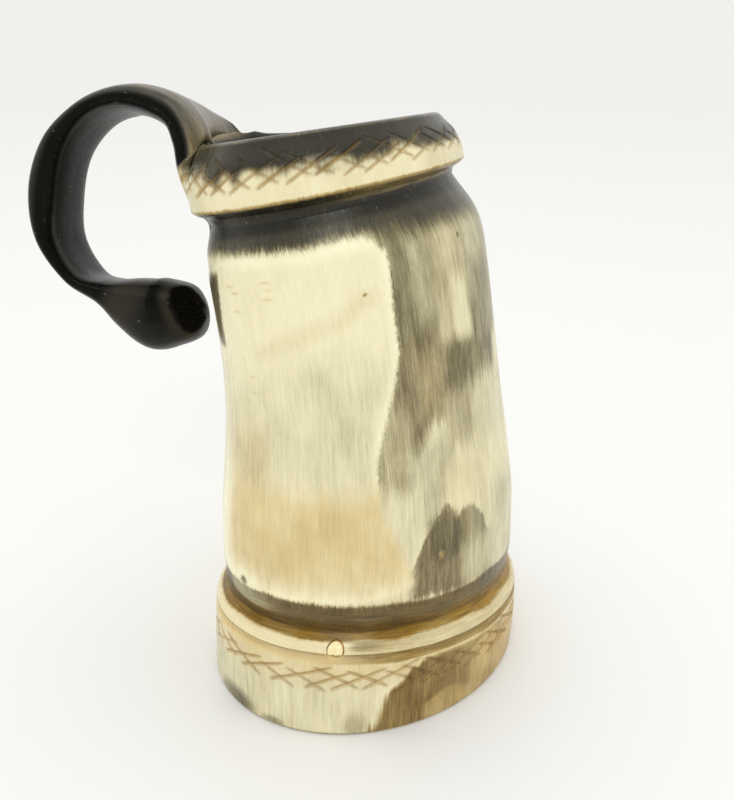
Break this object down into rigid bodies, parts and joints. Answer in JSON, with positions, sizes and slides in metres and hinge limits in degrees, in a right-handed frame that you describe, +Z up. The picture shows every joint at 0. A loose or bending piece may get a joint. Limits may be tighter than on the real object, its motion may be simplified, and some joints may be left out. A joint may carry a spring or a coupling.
{
  "type": "horn tankard",
  "caption": "Carved cattle-horn drinking tankard: oval leaning body, crosshatched rim collar and foot, curled horn handle ending in a bulb, pegged base disc.",
  "frame": {"origin": "on the table, under the middle of the whole tankard's box; the foot's middle is at (0.02475, -0.00319, 0)", "axes": "+Z up from the table, -X towards the handle, so the cup leans towards -X and a little towards +Y"},
  "size_m": [0.1398, 0.0912, 0.1608],
  "materials": {
    "horn": "polished cattle horn, cream with grey and brown streaks, near black at the rim and handle",
    "disc_wood": "plain turned hardwood, oiled",
    "wax": "dark beeswax bead",
    "peg": "pale horn, trimmed flush"
  },
  "bodies": {
    "root": {"horn_body": "horn", "base_disc": "disc_wood", "base_seal": "wax", "peg_front": "peg", "peg_right": "peg", "peg_left": "peg"}
  },
  "joints": []
}
